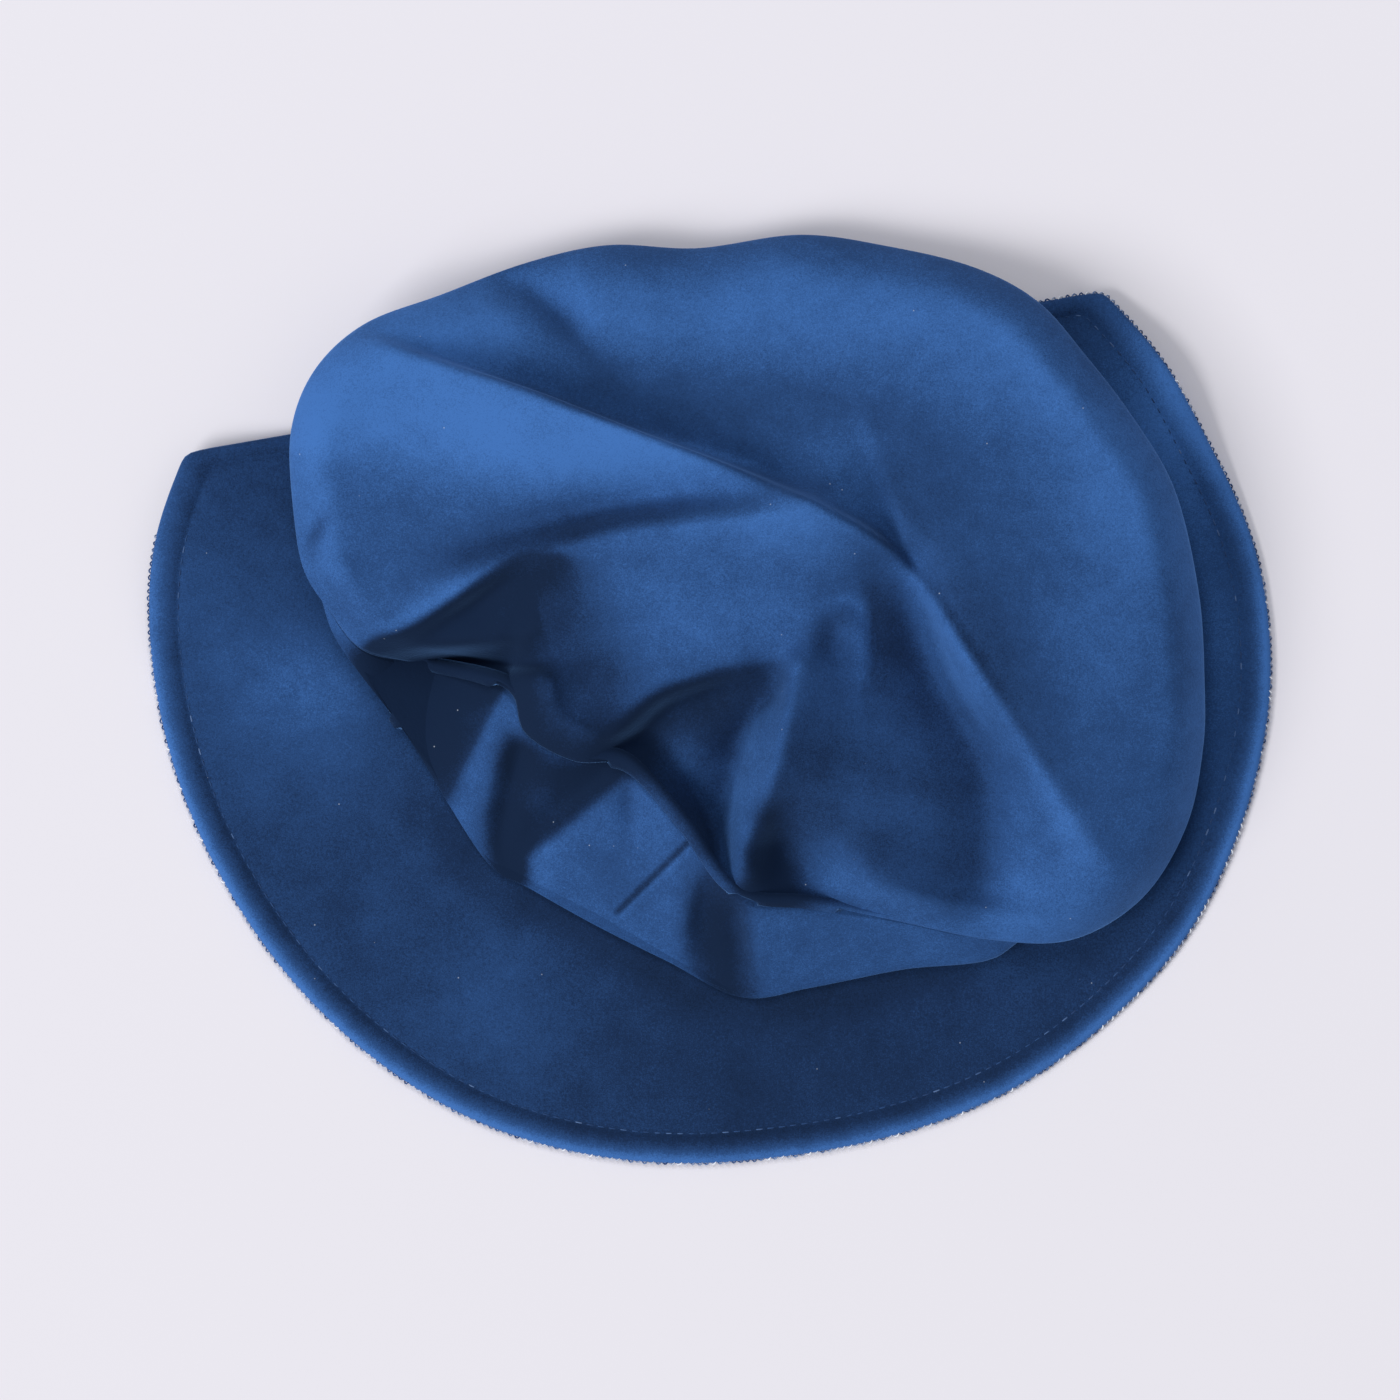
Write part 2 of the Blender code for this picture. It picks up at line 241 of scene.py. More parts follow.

# The same painted light and shade in strokes, with painted shade under the crown's edge and painted light
# on the
# band beside it: name, tone at even shares of the path, width to the left and right of the path, path.
BRIM_PAINTED_SHADING_STROKES = (
    ("under_crown_left", (-0.3, -0.4, -0.3), 8, 8, ((-96, -34), (-80, -54), (-66, -68))),
    ("under_crown_front", (-0.4, -0.5, -0.4, -0.3), 8, 8,
     ((-62, -68), (-35, -80), (-5, -98), (30, -101), (80, -93))),
    ("right_band_light", (0.0, 0.7, 1.0, 0.8, 0.4), 10, 10,
     ((140, -76), (163, -40), (170, 0), (168, 40), (150, 86))),
)

# Height of the hem's upper face by distance in from the edge.
HEM_PROFILE = (
    (0.0, 2.0), (0.25, 2.9), (0.8, 3.6), (1.8, 4.05), (3.5, 4.3), (6.0, 4.25), (8.2, 3.9), (9.3, 3.4),
    (10.0, 3.2), (10.8, 3.25), (12.0, 3.35), (14.0, 3.3), (18.0, 3.2),
)

# Painted highlight on the plump outer half of the hem: how much lighter, by angle, and how far in from
# the edge. Below it, painted shade: a soft dark band inside it, how much, how far in, how wide.
HEM_LIGHT = (
    (-180, 0.7), (-155, 1.5), (-120, 1.6), (-95, 1.7), (-60, 1.8), (-25, 2.2), (0, 2.1), (25, 0.6),
    (60, 0.3), (160, 0.3),
)
HEM_LIGHT_REACH = 4.2
HEM_SHADE = (0.2, 8.0, 2.2)

# How far in from the edge the rows of the hem lie, on top and below.
HEM_ROWS = (
    0.0, 0.12, 0.3, 0.6, 1.0, 1.6, 2.4, 3.4, 4.6, 5.8, 7.0, 8.0, 8.8, 9.4, 9.8, 10.2, 10.7, 11.4, 12.4,
    14.0,
)
HEM_ROWS_BELOW = ((3.0, 0.0), (1.2, 0.02), (0.5, 0.12), (0.15, 0.25))
FLAT_ROWS = 30
UNDER_ROWS = 10

# Colour of the velvet by tone: the deepest painted shade is nearly black, the strongest painted light
# is pale. The strength after the contrast is how strongly faces turned towards the painted light are
# painted lighter.
VELVET_STOPS = (
    (0.0, (0.0036, 0.014, 0.044)),
    (0.243, (0.0075, 0.026, 0.082)),
    (0.6, (0.020, 0.068, 0.205)),
    (0.957, (0.046, 0.150, 0.430)),
)
PLAIN_TONE = 0.6
TONE_CONTRAST = 0.357
FACING_LIGHT_STRENGTH = 0.8
DUST = (0.55, 0.62, 0.72)


def catmull_rom(before, start, end, after, t):
    """The point at t between start and end on a smooth curve through four points."""
    return 0.5 * (
        2 * start
        + (end - before) * t
        + (2 * before - 5 * start + 4 * end - after) * t**2
        + (3 * start - before - 3 * end + after) * t**3
    )


def bumps(places, rows):
    """Sum of soft round bumps, each with a place, a rise and a spread."""
    total = np.zeros(len(places))
    for _, x, y, rise, spread in rows:
        distance = np.hypot(places[:, 0] - x, places[:, 1] - y)
        total += rise * np.exp(-((distance / spread) ** 2))
    return total


def smooth_path(points):
    """A path through given points, as many short steps."""
    points = np.array(points, float)
    ends = np.vstack((2 * points[0] - points[1], points, 2 * points[-1] - points[-2]))
    path = [
        catmull_rom(*ends[index : index + 4], t)
        for index in range(len(points) - 1)
        for t in np.arange(0, 1, 0.04)
    ]
    return np.array(path + [points[-1]])


def beside(places, points):
    """Each place's distance from a path, its side (left above 0), the share along, and left."""
    path = smooth_path(points)
    reach = np.concatenate(([0.0], np.cumsum(np.hypot(*np.diff(path, axis=0).T))))
    along = np.gradient(path, axis=0)
    nearest = np.empty(len(places), int)
    for start in range(0, len(places), 4000):
        block = places[start : start + 4000]
        away = block[:, None, :] - path[None]
        nearest[start : start + 4000] = np.argmin((away**2).sum(-1), axis=1)
    offset = places - path[nearest]
    ahead = along[nearest] / np.hypot(*along[nearest].T)[:, None]
    side = ahead[:, 0] * offset[:, 1] - ahead[:, 1] * offset[:, 0]
    left = np.stack((-ahead[:, 1], ahead[:, 0]), -1)
    return np.hypot(*offset.T), side, reach[nearest] / reach[-1], left


def along_fold(share, values):
    """A value that changes along a path, from its values at even shares of it."""
    return np.interp(share, np.linspace(0, 1, len(values)), values)


def light_and_shade_strokes(places, rows):
    """Painted light and shade, laid on in strokes that fade off to each side of their path."""
    tone = np.zeros(len(places))
    for _, strength, to_left, to_right, points in rows:
        distance, side, share, _ = beside(places, points)
        wide = [along_fold(share, np.atleast_1d(width)) for width in (to_left, to_right)]
        width = wide[1] + (wide[0] - wide[1]) * (0.5 + 0.5 * np.tanh(side / STROKE_BLEND))
        tone += along_fold(share, strength) * np.exp(-((distance / width) ** 2))
    return tone


def brim_reach(angles):
    """Radius of the brim's edge about its centre at each angle in degrees."""
    turn, radius = np.array(BRIM_OUTLINE).T
    steps = np.arange(-180, 180, 2.0)
    rough = np.interp(steps, turn, radius, period=360)
    for _ in range(6):
        rough = 0.25 * np.roll(rough, 1) + 0.5 * rough + 0.25 * np.roll(rough, -1)
    round_edge = np.interp(angles, steps, rough, period=360)
    facing = np.cos(np.radians(angles - BACK_EDGE_ANGLE))
    straight = BACK_EDGE_DISTANCE / np.maximum(facing, 0.05)
    both = np.exp(-round_edge / CORNER_SOFTNESS) + np.exp(-straight / CORNER_SOFTNESS)
    return -CORNER_SOFTNESS * np.log(both)


def brim_top(places):
    """Height of the brim's upper face, or of the table beyond the brim."""
    out = places - BRIM_CENTRE
    angles = np.degrees(np.arctan2(out[:, 1], out[:, 0]))
    past = np.hypot(out[:, 0], out[:, 1]) - brim_reach(angles)
    lifted = bumps(places, BRIM_LIFTS) + bumps(places, BRIM_SWELLS)
    return (HEM_THICKNESS + lifted) * np.clip(1 - past / EDGE_RUN, 0, 1)


def ring_sheet(name, columns, rings, place):
    """A sheet closed round the hat: a flat grid carried to its place, with its UV map."""
    bm = bmesh.new()
    bmesh.ops.create_grid(bm, x_segments=columns, y_segments=len(rings) - 1, size=0.5)
    around = np.array([round((vert.co.x + 0.5) * columns) for vert in bm.verts])
    along = np.array([round((vert.co.y + 0.5) * (len(rings) - 1)) for vert in bm.verts])
    points, tones, chart = place(around, np.array(rings)[along])
    # Each point's tone, which carries painted light and shade on the velvet.
    pile = bm.verts.layers.float.new("pile")
    uv = bm.loops.layers.uv.new("cloth")
    for face in bm.faces:
        for loop in face.loops:
            loop[uv].uv = chart[loop.vert.index] * MM
    for vert, point, tone in zip(bm.verts, points, tones):
        vert.co = point * MM
        vert[pile] = tone
    bmesh.ops.remove_doubles(bm, verts=bm.verts, dist=2e-6)
    bmesh.ops.recalc_face_normals(bm, faces=bm.faces)
    for face in bm.faces:
        face.smooth = True
    mesh = bpy.data.meshes.new(name)
    bm.to_mesh(mesh)
    bm.free()
    piece = bpy.data.objects.new(name, mesh)
    bpy.context.scene.collection.objects.link(piece)
    return piece


def velvet(name, painted_light_way, seam=None):
    """Velvet, with light and shade painted into its colour. Faces turned the way of the second argument are
    painted lighter.

    The seam argument is the start and end of a straight seam, seen from above; along it there is a darker
    groove line, a painted highlight on one side and painted shade on the other.
    """
    cloth = Shade(name)
    where = cloth.add("TexCoord")
    spot = where["Object"]
    # Painted light: faces turned the given way are painted lighter, and the attribute adds the painted
    # light and shade of the tables.
    facing = cloth.add("VectorMath", {"operation": "DOT_PRODUCT"}, {0: where["Normal"], 1: painted_light_way})["Value"]
    pile = cloth.add("Attribute", {"attribute_name": "pile"})["Fac"]
    patches = cloth.noise(spot, 38.0, 3.0, 0.55) - 0.5
    strokes = cloth.noise(spot, 150.0, 3.0, 0.6) - 0.5
    grain = cloth.noise(spot, 900.0, 2.0, 0.75) - 0.5
    speckle = cloth.noise(spot, 2300.0, 1.0, 0.6) - 0.5
    tone = facing * FACING_LIGHT_STRENGTH + pile + patches * 0.7 + strokes * 0.4 + grain * 0.9 + speckle * 1.3
    height = grain * 0.6 + strokes * 0.8
    if seam:
        (x, y), (end_x, end_y) = seam
        length = math.hypot(end_x - x, end_y - y)
        ahead = ((end_x - x) / length, (end_y - y) / length, 0.0)
        across = (-ahead[1], ahead[0], 0.0)
        reach = cloth.add("VectorMath", {"operation": "DOT_PRODUCT"}, {0: spot, 1: ahead})["Value"]
        away = cloth.add("VectorMath", {"operation": "DOT_PRODUCT"}, {0: spot, 1: across})["Value"]
        reach = (reach - (x * ahead[0] + y * ahead[1]) * MM) * (1 / MM)
        away = (away - (x * across[0] + y * across[1]) * MM) * (1 / MM)
        within = reach.between(0.0, 1.5) * reach.between(length, length - 2.0)
        groove = away.math("ABSOLUTE").between(1.8, 0.3) * within
        # Painted highlight just to one side of the seam line, and painted shade to the other.
        painted_lip_light = away.between(4.0, 1.2) * away.between(0.6, 1.2) * within
        shade = away.between(-7.0, -1.0) * away.between(0.4, -1.0) * within
        tone = tone - groove * 1.0 + painted_lip_light * 0.3 - shade * 0.1
        height = height - groove * 1.5
    share = tone * TONE_CONTRAST + PLAIN_TONE
    colour = cloth.add("ValToRGB", {"stops": VELVET_STOPS}, {0: share})[0]
    dust = cloth.add("TexVoronoi", {"feature": "F1"}, {"Vector": spot, "Scale": 250.0})
    lone = cloth.add("SeparateColor", None, {0: dust["Color"]})[0].between(0.95, 0.955)
    speck = lone * (1.0 - dust["Distance"].between(0.03, 0.08))
    colour = cloth.add("Mix", {"data_type": "RGBA"}, {0: speck * 0.5, 6: colour, 7: (*DUST, 1)})[2]
    bump = cloth.add("Bump", None, {"Strength": 0.35, "Distance": 0.0006, "Height": height})[0]
    return cloth.finish(
        Base_Color=colour,
        Roughness=0.92,
        Specular_IOR_Level=0.15,
        Sheen_Weight=0.55,
        Sheen_Roughness=0.34,
        Sheen_Tint=(0.2, 0.46, 1.0, 1),
        Normal=bump,
    )


def brim_stations():
    """Stations from the outer edge in over the top and back under: (share, inset, level)."""
    hem = [(0.0, inset, 1.0) for inset in HEM_ROWS]
    flat = [(share, HEM_ROWS[-1], 1.0) for share in np.linspace(0, 1, FLAT_ROWS + 1)[1:]]
    under = [(share, HEM_ROWS[-1], 0.0) for share in np.linspace(1, 0, UNDER_ROWS)]
    return hem + flat + under + [(0.0, inset, level) for inset, level in HEM_ROWS_BELOW]


STATIONS = np.array(brim_stations())


def brim_skin(around, station):
    """Points, painted light and shade, and cloth chart of the brim's whole skin."""
    share, inset, level = STATIONS[station.astype(int) % len(STATIONS)].T
    angle = around * 360 / BRIM_COLUMNS
    turn = np.radians(angle)
    ray = np.stack((np.cos(turn), np.sin(turn)), -1)
    outer = np.array(BRIM_CENTRE) + ray * brim_reach((angle + 180) % 360 - 180)[:, None]
    inner = np.array(HEAD_OPENING_CENTRE) + ray * HEAD_OPENING_RADIUS
    width = np.linalg.norm(outer - inner, axis=1)
    squeeze = np.minimum(1, width / (HEM_WIDTH + FLAT_LEFT))
    distance = inset * squeeze
    distance += share * (width - distance)
    places = outer + (inner - outer) * (distance / width)[:, None]
    swell = bumps(places, BRIM_SWELLS) * np.clip((distance - HEM_WIDTH) / SWELL_RUN, 0, 1)
    wave = WAVE_HEIGHT * np.sin(angle * WAVE_TURN + WAVE_START) * np.clip(distance / WAVE_RUN, 0, 1)
    hem_inset, hem_height = np.array(HEM_PROFILE).T
    top = np.interp(distance, hem_inset, hem_height) + swell + wave
    height = bumps(places, BRIM_LIFTS) + level * top
    # Painted light and shade: patches and strokes, a painted highlight on the plump hem and painted shade
    # inside it.
    tone = bumps(places, BRIM_PAINTED_SHADING) + light_and_shade_strokes(places, BRIM_PAINTED_SHADING_STROKES)
    light_turn, light = np.array(HEM_LIGHT).T
    tone += np.interp(angle, light_turn, light, period=360) * np.exp(-((distance / HEM_LIGHT_REACH) ** 2))
    shade, inset, spread = HEM_SHADE
    tone -= shade * np.exp(-(((distance - inset) / spread) ** 2))
    chart = np.column_stack((angle * 3.0, distance))
    return np.column_stack((places, height)), tone, chart


brim = ring_sheet("velvet_brim", BRIM_COLUMNS, np.arange(len(STATIONS) + 1), brim_skin)
brim.data.materials.append(velvet("brim_velvet", (-0.35, -0.5, 0.0)))
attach(brim, "root")
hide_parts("brim")


# The topstitching: one row of blue machine stitches 10 mm inside the round edge, which
# holds the turned hem flat. It stops at the ends of the straight back edge.

STITCH_PITCH = 3.8
STITCH_LENGTH = 2.9
THREAD = 0.5
STITCHED_FROM = -189.0
STITCHED_TO = 46.0
STITCH_LEVEL = 3.0
STITCH_SHAPE = ((-1, -0.3), (-0.6, 0.12), (0, 0.22), (0.6, 0.12), (1, -0.3))
BLUE_THREAD = ((0.0, (0.012, 0.040, 0.125)), (0.85, (0.02, 0.066, 0.19)), (1.0, (0.10, 0.18, 0.36)))
END_SHARE = 0.55


def along_edge(inset, start, end, pitch):
    """Evenly spaced points a given way in from the brim's edge, with their headings."""
    angles = np.linspace(start, end, 4000)
    turn = np.radians(angles)
    ray = np.stack((np.cos(turn), np.sin(turn)), -1)
    outer = np.array(BRIM_CENTRE) + ray * brim_reach((angles + 180) % 360 - 180)[:, None]
    inner = np.array(HEAD_OPENING_CENTRE) + ray * HEAD_OPENING_RADIUS
    width = np.linalg.norm(outer - inner, axis=1)
    line = outer + (inner - outer) * (inset / width)[:, None]
    reach = np.concatenate(([0.0], np.cumsum(np.hypot(*np.diff(line, axis=0).T))))
    wanted = np.arange(pitch / 2, reach[-1], pitch)
    spots = np.column_stack([np.interp(wanted, reach, axis) for axis in line.T])
    ahead = np.column_stack([np.interp(wanted + 0.5, reach, axis) for axis in line.T])
    behind = np.column_stack([np.interp(wanted - 0.5, reach, axis) for axis in line.T])
    heading = ahead - behind
    return spots, heading / np.linalg.norm(heading, axis=1)[:, None]


def thread_shade(name, colours):
    """Spun thread: a fine twist, and a slightly different colour for each stitch."""
    thread = Shade(name)
    spot = thread.add("TexCoord")["Object"]
    # The tone attribute gives each stitch its colour; on the loops of the lit side it carries a painted
    # highlight.
    tone = thread.add("Attribute", {"attribute_name": "pile"})["Fac"]
    colour = thread.add("ValToRGB", {"stops": colours}, {0: tone})[0]
    twist = thread.noise(spot, 2600.0, 2.0, 0.6)
    bump = thread.add("Bump", None, {"Strength": 0.5, "Distance": 0.0002, "Height": twist})[0]
    return thread.finish(
        Base_Color=colour,
        Roughness=0.8,
        Specular_IOR_Level=0.2,
        Sheen_Weight=0.1,
        Normal=bump,
    )


def add_thread(bm, path, radius, tone, pile, sides=6):
    """One stitch: a round thread through the points of a path, closed at both ends."""
    rings = []
    last = len(path) - 1
    for index, point in enumerate(path):
        at_end = index in (0, last)
        nearby = (Vector(path[min(index + 1, last)]) - Vector(path[max(index - 1, 0)])).normalized()
        if index == 0:
            across = nearby.orthogonal().normalized()
        else:
            across = (across - nearby * across.dot(nearby)).normalized()
        upward = nearby.cross(across)
        thick = radius * (END_SHARE if at_end else 1.0)
        made = bmesh.ops.create_circle(bm, cap_ends=at_end, radius=thick * MM, segments=sides)
        spin = np.array([across, upward, nearby]).T
        for vert in made["verts"]:
            vert.co = Vector(spin @ np.array(vert.co)) + Vector(point) * MM
            vert[pile] = tone
        rim = {edge for vert in made["verts"] for edge in vert.link_edges}
        rings.append([edge for edge in rim if len(edge.link_faces) < 2])
    for one, two in zip(rings, rings[1:]):
        bmesh.ops.bridge_loops(bm, edges=one + two)


def thread_piece(name, stitches, material):
    """All the stitches of one kind as one piece."""
    bm = bmesh.new()
    pile = bm.verts.layers.float.new("pile")
    for path, radius, tone in stitches:
        add_thread(bm, path, radius, tone, pile)
    bmesh.ops.recalc_face_normals(bm, faces=bm.faces)
    for face in bm.faces:
        face.smooth = True
    mesh = bpy.data.meshes.new(name)
    bm.to_mesh(mesh)
    bm.free()
    piece = bpy.data.objects.new(name, mesh)
    bpy.context.scene.collection.objects.link(piece)
    piece.data.materials.append(material)
    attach(piece, "root")
    return piece


chance = np.random.default_rng(7)
spots, headings = along_edge(HEM_WIDTH, STITCHED_FROM, STITCHED_TO, STITCH_PITCH)
ground = bumps(spots, BRIM_LIFTS) + STITCH_LEVEL
rows = []
for spot, heading, height in zip(spots, headings, ground):
    half = heading * STITCH_LENGTH / 2
    path = [(*(spot + half * share), height + rise) for share, rise in STITCH_SHAPE]
    rows.append((path, THREAD / 2, chance.uniform(0.2, 1.0)))
blue_thread = thread_shade("blue_thread", BLUE_THREAD)
topstitching = thread_piece("topstitching", rows, blue_thread)


# The bound edge: slanting loops of pale overlock thread that wrap the raw edges of both
# layers under the hem. From above they show as a row of fine teeth outside the velvet.

LOOP_PITCH = 2.3
LOOP_THREAD = 0.56
BOUND_FROM = -188.0
BOUND_TO = 47.0
PALE_THREAD = ((0.0, (0.02, 0.06, 0.18)), (0.45, (0.12, 0.2, 0.38)), (1.0, (0.82, 0.85, 0.9)))

# Paleness of the loops, and its spread: on the lit side of the brim the loops are painted paler as a
# painted highlight, on the rest they have the thread's own paleness.
LIT_FROM = -175
LIT_TO = 12
LIT_PALENESS = 0.6
PALENESS = 0.25
PALENESS_SPREAD = 0.3

chance = np.random.default_rng(11)
spots, headings = along_edge(0.0, BOUND_FROM, BOUND_TO, LOOP_PITCH)
ground = bumps(spots, BRIM_LIFTS)
rows = []
for spot, heading, height in zip(spots, headings, ground):
    outward = np.array((heading[1], -heading[0]))
    slant = LOOP_PITCH * chance.uniform(0.34, 0.52)
    out = chance.uniform(0.12, 0.42)
    shape = (
        (-1.0, -1.5, 0.5),
        (-0.7, 0.1, 0.6),
        (-0.1, out + 0.25, 1.3),
        (0.5, out, 2.2),
        (0.9, -0.35, 2.9),
    )
    path = [
        (*(spot + heading * slant * ahead + outward * away), height + up)
        for ahead, away, up in shape
    ]
    face = math.degrees(math.atan2(outward[1], outward[0]))
    # Loops on the lit side get a painted highlight.
    pale = LIT_PALENESS if LIT_FROM < face < LIT_TO else PALENESS
    tone = float(np.clip(chance.normal(pale, PALENESS_SPREAD), 0, 1))
    rows.append((path, LOOP_THREAD / 2, tone))
pale_thread = thread_shade("pale_thread", PALE_THREAD)
bound_edge = thread_piece("bound_edge", rows, pale_thread)


# The side ring of the crown: a band of the same velvet, closed by one seam at the front
# left. It runs from the edge of the round top down and in to the head opening, and it
# has slumped into a few deep folds at the front.

CLOTH = 2.0
REST_GAP = 0.35
FOOT_RADIUS = HEAD_OPENING_RADIUS + 1.5
CROWN_CENTRE = (10.0, 34.0)
CROWN_MIDDLE_HEIGHT = 40.0
SHOULDER_INSET = 13.0
EVENED_WAVES = 4.0
CROWN_COLUMNS = 420
SIDE_COLUMNS = 640
SIDE_RINGS = 56

# Sections round the crown, anticlockwise from its right side.
# edge: the outermost line of the top piece. puff: how far the top rises inside it.
# tuck and drop: how far in and down from the edge the seam to the side ring lies.
# hip: where the side ring turns under, with its height above the brim or table.
SECTION_COLUMNS = ("edge_x", "edge_y", "edge_z", "puff", "tuck", "drop", "hip_x", "hip_y", "hip_z")
CROWN_SECTIONS = (
    ("right", 165, 5, 20, 14, 6, 8, 140, 8, 3),
    ("right_back_low", 163, 36, 21, 14, 6, 8, 138, 32, 3),
    ("right_back", 155, 70, 23, 13, 6, 7, 132, 58, 4),
    ("right_back_high", 141, 94, 25, 12, 5, 6, 122, 78, 4),
    ("corner_right", 125, 115, 25, 12, 5, 6, 108, 96, 4),
    ("back_corner", 109, 133, 22, 12, 5, 6, 92, 110, 4),
    ("back_right_high", 88, 144.5, 16, 12, 5, 6, 72, 122, 5),
    ("back_right", 60, 151.5, 13, 12, 5, 6, 50, 128, 4),
    ("back", 30, 155.5, 12, 12, 5, 6, 26, 131, 4),
    ("back_dip", -4, 151, 12, 12, 5, 6, 0, 130, 4),
    ("back_left", -34, 152, 13, 12, 5, 6, -26, 129, 4),
    ("back_left_high", -61.5, 145.8, 16, 11, 5, 6, -50, 122, 5),
    ("left_back_slope", -89.5, 135, 22, 10, 5, 7, -72, 113, 6),
    ("left_corner", -114.5, 125.2, 28, 9, 5, 7, -92, 104, 6),
    ("left_back", -131, 110, 29, 9, 5, 8, -106, 88, 5),
    ("left_high", -139, 90, 28, 11, 5, 8, -112, 70, 4),
    ("left", -138.5, 66, 26, 13, 4, 8, -114, 52, 4),
    ("left_low", -134, 44, 25, 12, 0, 4, -121, 40, 8),
    ("beak_side", -124, 29, 25, 9, -2, 4, -124, 25, 9),
    ("beak", -113, 16.5, 22, 6, -2, 4, -116, 9, 7),
    ("recess", -93, 11.5, 7, 0, -1, 0.5, -101, -12, 3),
    ("strip", -67, 3.5, 29, 7, 0, 4, -86.5, -34, 3),
    ("lobe_left", -61.5, -11, 31, 5, 1, 4, -73, -54, 2),
    ("lobe_low", -45, -20.5, 30, 5, 2, 5, -59, -61, 2),
    ("pucker", -27, -22, 27, 0, -1, 1, -36, -73, 2),
    ("side_seam", -9, -41, 30, -4, -1, 1, -15, -85, 2),
    ("ridge_foot", 9, -64, 31, 2, -1, 2, 10, -99, 2),
    ("front_pit", 34, -67.5, 26, -2, -1, 1.5, 34, -96, 2),
    ("front_right_puff", 62, -73, 27, 9, 0, 3, 64, -90, 2),
    ("front_right", 92, -79, 24, 12, 0, 4, 94, -85, 3),
    ("front_corner_low", 120, -79.5, 21, 13, 3, 6, 104, -68, 3),
    ("front_corner", 144, -66, 19, 14, 5, 7, 122, -54, 3),
    ("right_front", 159, -42, 18, 14, 6, 8, 134, -34, 3),
    ("right_low", 164.5, -16, 19, 14, 6, 8, 140, -12, 3),
)

# Steps, where a fold's edge hangs over the cloth beside it. The high side is on the
# right, looking along the path. high and low: how far each side is raised or sunk, at
# even shares of the path; a low side below 0 is raised too. roll: how softly the edge
# turns over. lean: how far it hangs out.
TOP_STEPS = (
    ("long_ridge", (2, 20, 29, 31, 24, 5), (34, 34, 34, 20, 14, 18), (0, 4, -9, -17, -21, -5),
     (30, 30, 30, 38, 44, 44), 1.3, (3.5, 3.5, 2.5, 0.5, 0.0),
     ((-117, 123), (-90, 113), (-60, 102.5), (-25, 89), (10, 76), (40, 63), (59, 52), (70, 40), (80, 25),
      (98, -3), (118, -32), (134, -58))),
    ("beak_edge", (4, 9, 2), (20, 20), (4, 9, 4), (11, 11), 3.2, 1.5,
     ((-47, 46), (-56, 47), (-66, 43), (-82, 32), (-98, 22), (-112, 18))),
    ("plateau_left", (2, 6, 2), (20, 20), (3, 4, 2), (12, 12), 2.8, 0.6,
     ((-62, -14), (-66, 0), (-65, 14), (-61, 28), (-52, 42))),
    ("plateau_edge", (3, 6, 4), (26, 26), (6, 17, 15), (14, 14), 4.0, 0.0,
     ((30, 12), (20, 9), (4, 6), (-14, -1), (-28, -13))),
    ("knob_edge", (4, 7, 3), (10, 10), (4, 10, 4), (10, 10), 2.4, 0.5,
     ((36, 31), (46, 31), (52, 22), (54, 8))),
)
# Ridges and hollows: name, rise or depth at even shares of the path, width of the left
# and of the right flank, roundness of the crest, path.
TOP_RIDGES = (
    ("ridge_c", (3, 8, 15, 19, 20), 7, 16, 1.5,
     ((-104, 36), (-88, 42), (-70, 47.5), (-55, 51.5), (-30, 58), (0, 61.5), (20, 63), (34, 66))),
    ("ridge_e", (12, 14, 9), 13, 4, 2.0, ((29, 12), (26, -6), (20, -30), (12, -50), (9, -62))),
    ("front_puff", (1, 5, 4, 2), 14, 10, 6.0, ((36, -50), (50, -56), (66, -62), (80, -66))),
)
TOP_HOLLOWS = (
    ("valley_c", (2, 10, 6), 10, 6, 3.0, ((-100, 50), (-65, 57), (-40, 63), (-10, 69), (20, 71))),
    ("front_pit", (6, 11, 7), 8, 9, 6.0, ((23, -40), (23, -50), (23, -58))),
    ("valley_f", (20, 26, 22, 17, 13, 10), (4, 4, 4, 6, 9, 12, 14), 17, 4.0,
     ((65, 44), (69, 30), (73, 18), (79, 3), (87, -11), (92, -26), (93, -45), (91, -62))),
    ("wedge", (10, 17, 15, 10), 4, 14, 3.0, ((20, 2), (12, -7), (7, -24), (3, -42), (5, -58))),
    ("knob_dent", (4, 6, 4), 4, 4, 2.0, ((40, 27), (42, 23), (41, 16))),
    ("back_dip", (7, 8, 2), 7, 7, 2.0, ((-68, 141), (-50, 130), (-35, 110))),
    ("dimple", (3, 4, 2), 2.5, 2.5, 1.0, ((-128, 60), (-131, 55), (-134, 50))),
)
SIDE_STEPS = (
    ("strip_edge", (4, 6, 3), (12, 12), (8, 9, 3), (8, 8), 2.2, 1.0,
     ((-65, -14), (-70, -28), (-73, -44), (-70, -58))),
    ("panel_edge", (3, 6, 4), (20, 20), (3, 8, 11), (8, 8), 4.2, 0.8,
     ((-62, -58), (-61, -50), (-50, -41), (-36, -29), (-26, -21))),
    ("fold_left", (4, 5, 3), (16, 16), (5, 11, 9), (16, 16), 4.5, 0.6, ((0, -54), (-5, -70), (-7, -90))),
    ("fold_right", (4, 6, 4), (18, 18), (5, 11, 9), (16, 16), 3.0, 1.0, ((14, -98), (12, -80), (11, -66))),
)
SIDE_HOLLOWS = (
    ("pucker", (3, 5, 2), 2.5, 2.5, 1.5, ((-26, -23), (-27, -34), (-26, -46))),
)
FOLD_SHARPNESS = 3.0
LEAN_REACH = 6.0
FULL_LEAN = 25
LEAN_BACK = 0.4
FLANK_BLEND = 2.0
END_SPREAD = 1.2
SIDE_FOLD_PUSH = 0.35
SIDE_FOLD_RISE = 0.8

# Where along the crown's profile the folds of the top and of the side ring fade out.
TOP_FOLDS_END = 2.15
SIDE_FOLDS_START = 2.8
SIDE_FOLDS_FADE_IN = 0.6
SIDE_FOLDS_FADE_OUT = 0.7
SIDE_FOLDS_END = 4.15

